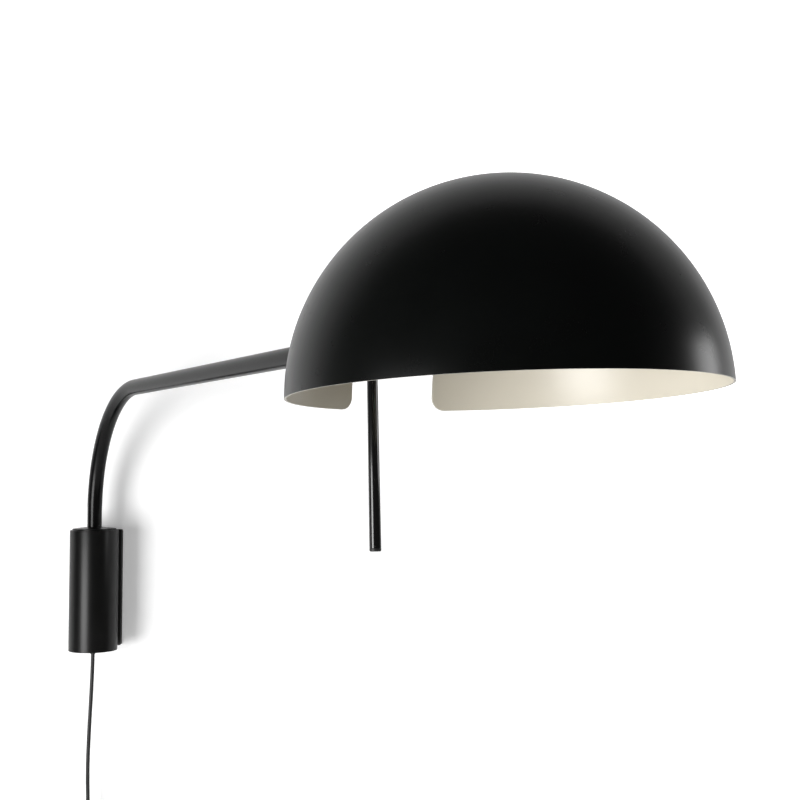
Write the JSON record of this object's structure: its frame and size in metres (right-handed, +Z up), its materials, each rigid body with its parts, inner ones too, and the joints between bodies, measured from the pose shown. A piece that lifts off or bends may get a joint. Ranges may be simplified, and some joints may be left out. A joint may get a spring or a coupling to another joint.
{
  "type": "swing arm wall light",
  "caption": "Plug-in swing-arm wall light with a cylindrical pivot bracket, a bent tube arm, a hanging rod handle and a tilting slotted dome shade.",
  "frame": {"origin": "middle of the wall plate's back face, on the wall", "axes": "+Z up, +Y into the wall along its normal, +X to the right seen from the room"},
  "size_m": [0.6607, 0.9685, 0.8172],
  "materials": {
    "black_paint": "satin black powder coat",
    "shade_paint": "satin black outside and cream inside, painted on spun aluminium",
    "black_gloss": "gloss black lacquer",
    "black_plastic": "moulded black",
    "lampholder_plastic": "moulded black",
    "cord_rubber": "smooth black sheath",
    "plated_steel": "zinc plated",
    "alloy": "turned",
    "bronze": "sintered bronze",
    "nylon": "natural nylon",
    "bulb_glass": "opal glass"
  },
  "bodies": {
    "bracket": {"wall_plate": "black_paint", "wall_strap": "plated_steel", "lug_screws": "plated_steel", "standoff_blocks": "alloy", "standoff_screws": "plated_steel", "bracket_sleeve": "black_paint", "bearing_housing": "alloy", "upper_bush": "bronze", "lower_bush": "bronze", "bottom_cap": "black_paint", "cord_gland": "black_plastic", "gland_nut": "black_plastic", "mains_cord": "cord_rubber", "mains_cord_coil": "cord_rubber", "cord_tail": "cord_rubber", "cord_tie": "black_plastic", "plug_body": "black_plastic", "plug_pins": "plated_steel"},
    "arm": {"pivot_spigot": "plated_steel", "upper_washer": "nylon", "lower_washer": "nylon", "pivot_nut": "plated_steel", "top_cap": "black_paint", "arm_tube": "black_paint", "arm_cable": "cord_rubber", "handle_collar": "black_paint", "handle_rod": "black_gloss", "handle_stud": "plated_steel", "handle_end_cap": "black_plastic", "arm_fork": "black_paint", "tilt_pin": "plated_steel", "tilt_nut": "plated_steel"},
    "head": {"holder_cup": "black_paint", "lampholder": "lampholder_plastic", "centre_contact": "bronze", "bulb_cap": "plated_steel", "bulb_glass": "bulb_glass", "shade": "shade_paint", "crown_stud": "plated_steel", "stud_nuts": "plated_steel", "shade_bridge": "plated_steel", "bridge_screws": "plated_steel"}
  },
  "joints": [
    {"name": "arm_swing", "type": "hinge", "parent": "bracket", "child": "arm", "pos_m": [0, -0.043, 0], "axis": [0, 0, 1], "range_deg": [-111.4, 48.6]},
    {"name": "head_tilt", "type": "hinge", "parent": "arm", "child": "head", "pos_m": [0.42098, -0.73267, 0.2565], "axis": [0.8534, 0.5209, 0.0157], "range_deg": [-20, 25]}
  ]
}
